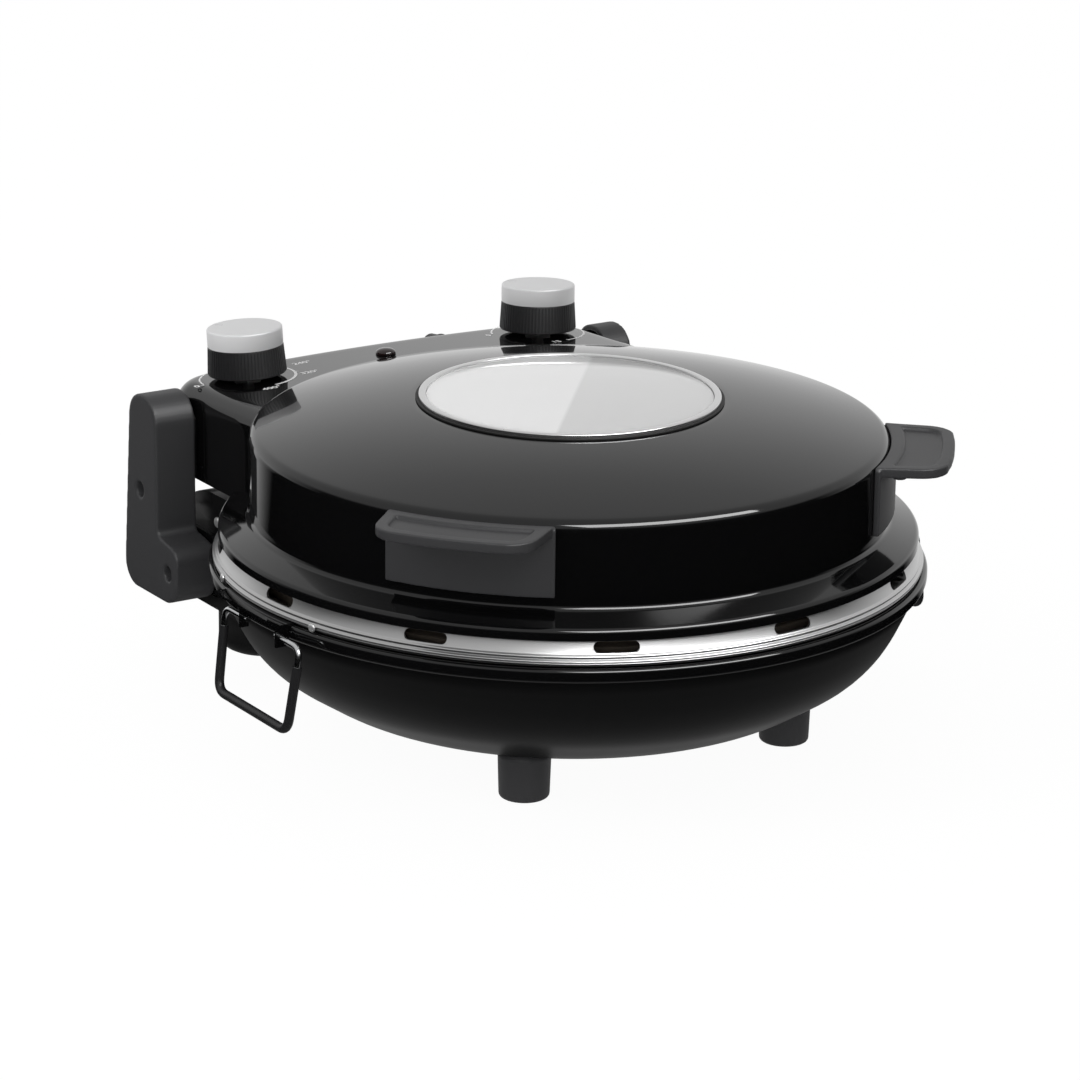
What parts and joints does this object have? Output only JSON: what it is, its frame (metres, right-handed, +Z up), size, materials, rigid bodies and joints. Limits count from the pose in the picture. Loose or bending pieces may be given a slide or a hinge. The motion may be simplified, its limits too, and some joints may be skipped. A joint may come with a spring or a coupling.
{
  "type": "electric pizza maker",
  "caption": "Round countertop pizza maker: bowl base with a baking stone, hinged domed lid with a round window and side handles, rear control box with two dials, folding carrying bails.",
  "frame": {"origin": "on the worktop plane under the middle of the part's bounding box, 15.5 mm behind the chamber's own axis", "axes": "+Z up, -Y the front, +X to the right seen from the front; the hinge line runs along X at the back"},
  "size_m": [0.3738, 0.385, 0.1761],
  "materials": {
    "bowl_paint": "satin black paint",
    "gloss_enamel": "glossy black enamel",
    "bright_sheet": "bright rolled sheet",
    "fired_clay": "matte buff fired clay",
    "heater_sheath": "dull oxidised sheath",
    "zinc_steel": "zinc plated",
    "charcoal_plastic": "fine grained charcoal",
    "black_plastic": "satin black",
    "cap_silver": "satin silver grey",
    "switch_body": "cream moulding",
    "timer_case": "plain sheet case",
    "lamp_lens": "dark glossy lens",
    "ring_metal": "satin grey",
    "black_rubber": "matte",
    "clear_glass": "clear",
    "bright_wire": "bright plated"
  },
  "bodies": {
    "base": {"base_shell": "bowl_paint", "rolled_rim": "gloss_enamel", "slotted_band": "bright_sheet", "inner_pan": "bright_sheet", "lower_heater": "heater_sheath", "lower_heater_clips": "bright_sheet", "baking_stone": "fired_clay", "feet": "charcoal_plastic", "foot_screws": "zinc_steel", "left_hinge_bracket": "gloss_enamel", "right_hinge_bracket": "gloss_enamel", "hinge_pins": "zinc_steel", "left_hinge_arm": "charcoal_plastic", "right_hinge_arm": "charcoal_plastic", "arm_screws": "zinc_steel", "base_rivets": "zinc_steel", "left_bail_bracket": "gloss_enamel", "right_bail_bracket": "gloss_enamel"},
    "lid": {"lid_shell": "gloss_enamel", "lid_liner": "bright_sheet", "upper_heater": "heater_sheath", "upper_heater_clips": "bright_sheet", "window_gasket": "black_rubber", "window_ring": "ring_metal", "outer_glass": "clear_glass", "glass_seal": "black_rubber", "inner_glass": "clear_glass", "glass_retainer": "bright_sheet", "box_floor_plate": "zinc_steel", "heat_shield": "bright_sheet", "left_lid_ear": "zinc_steel", "right_lid_ear": "zinc_steel", "ear_screws": "zinc_steel", "thermostat": "switch_body", "timer": "timer_case", "control_nuts": "zinc_steel", "terminal_block": "switch_body", "pilot_lamp": "lamp_lens", "cord_gland": "black_plastic", "left_handle": "charcoal_plastic", "right_handle": "charcoal_plastic", "handle_screws": "zinc_steel"},
    "temperature_dial": {"temperature_shaft": "zinc_steel", "temperature_knob": "black_plastic", "temperature_cap": "cap_silver"},
    "timer_dial": {"timer_shaft": "zinc_steel", "timer_knob": "black_plastic", "timer_cap": "cap_silver"},
    "left_bail": {"left_bail_wire": "bright_wire", "left_bail_sleeve": "black_plastic"},
    "right_bail": {"right_bail_wire": "bright_wire", "right_bail_sleeve": "black_plastic"}
  },
  "joints": [
    {"name": "lid_hinge", "type": "hinge", "parent": "base", "child": "lid", "pos_m": [0, 0.158, 0.096], "axis": [-1, 0, 0], "range_deg": [0, 92]},
    {"name": "temperature_turn", "type": "hinge", "parent": "lid", "child": "temperature_dial", "pos_m": [-0.0874, 0.1515, 0.1485], "axis": [0.0368, -0.0558, -0.9978], "range_deg": [-95, 165]},
    {"name": "timer_turn", "type": "hinge", "parent": "lid", "child": "timer_dial", "pos_m": [0.0874, 0.1515, 0.1485], "axis": [-0.0368, -0.0558, -0.9978], "range_deg": [-95, 165]},
    {"name": "left_bail_swing", "type": "hinge", "parent": "base", "child": "left_bail", "pos_m": [-0.1789, -0.0275, 0.0819], "axis": [0, 1, 0], "range_deg": [0, 100]},
    {"name": "right_bail_swing", "type": "hinge", "parent": "base", "child": "right_bail", "pos_m": [0.1789, -0.0275, 0.0819], "axis": [0, -1, 0], "range_deg": [0, 100]}
  ]
}
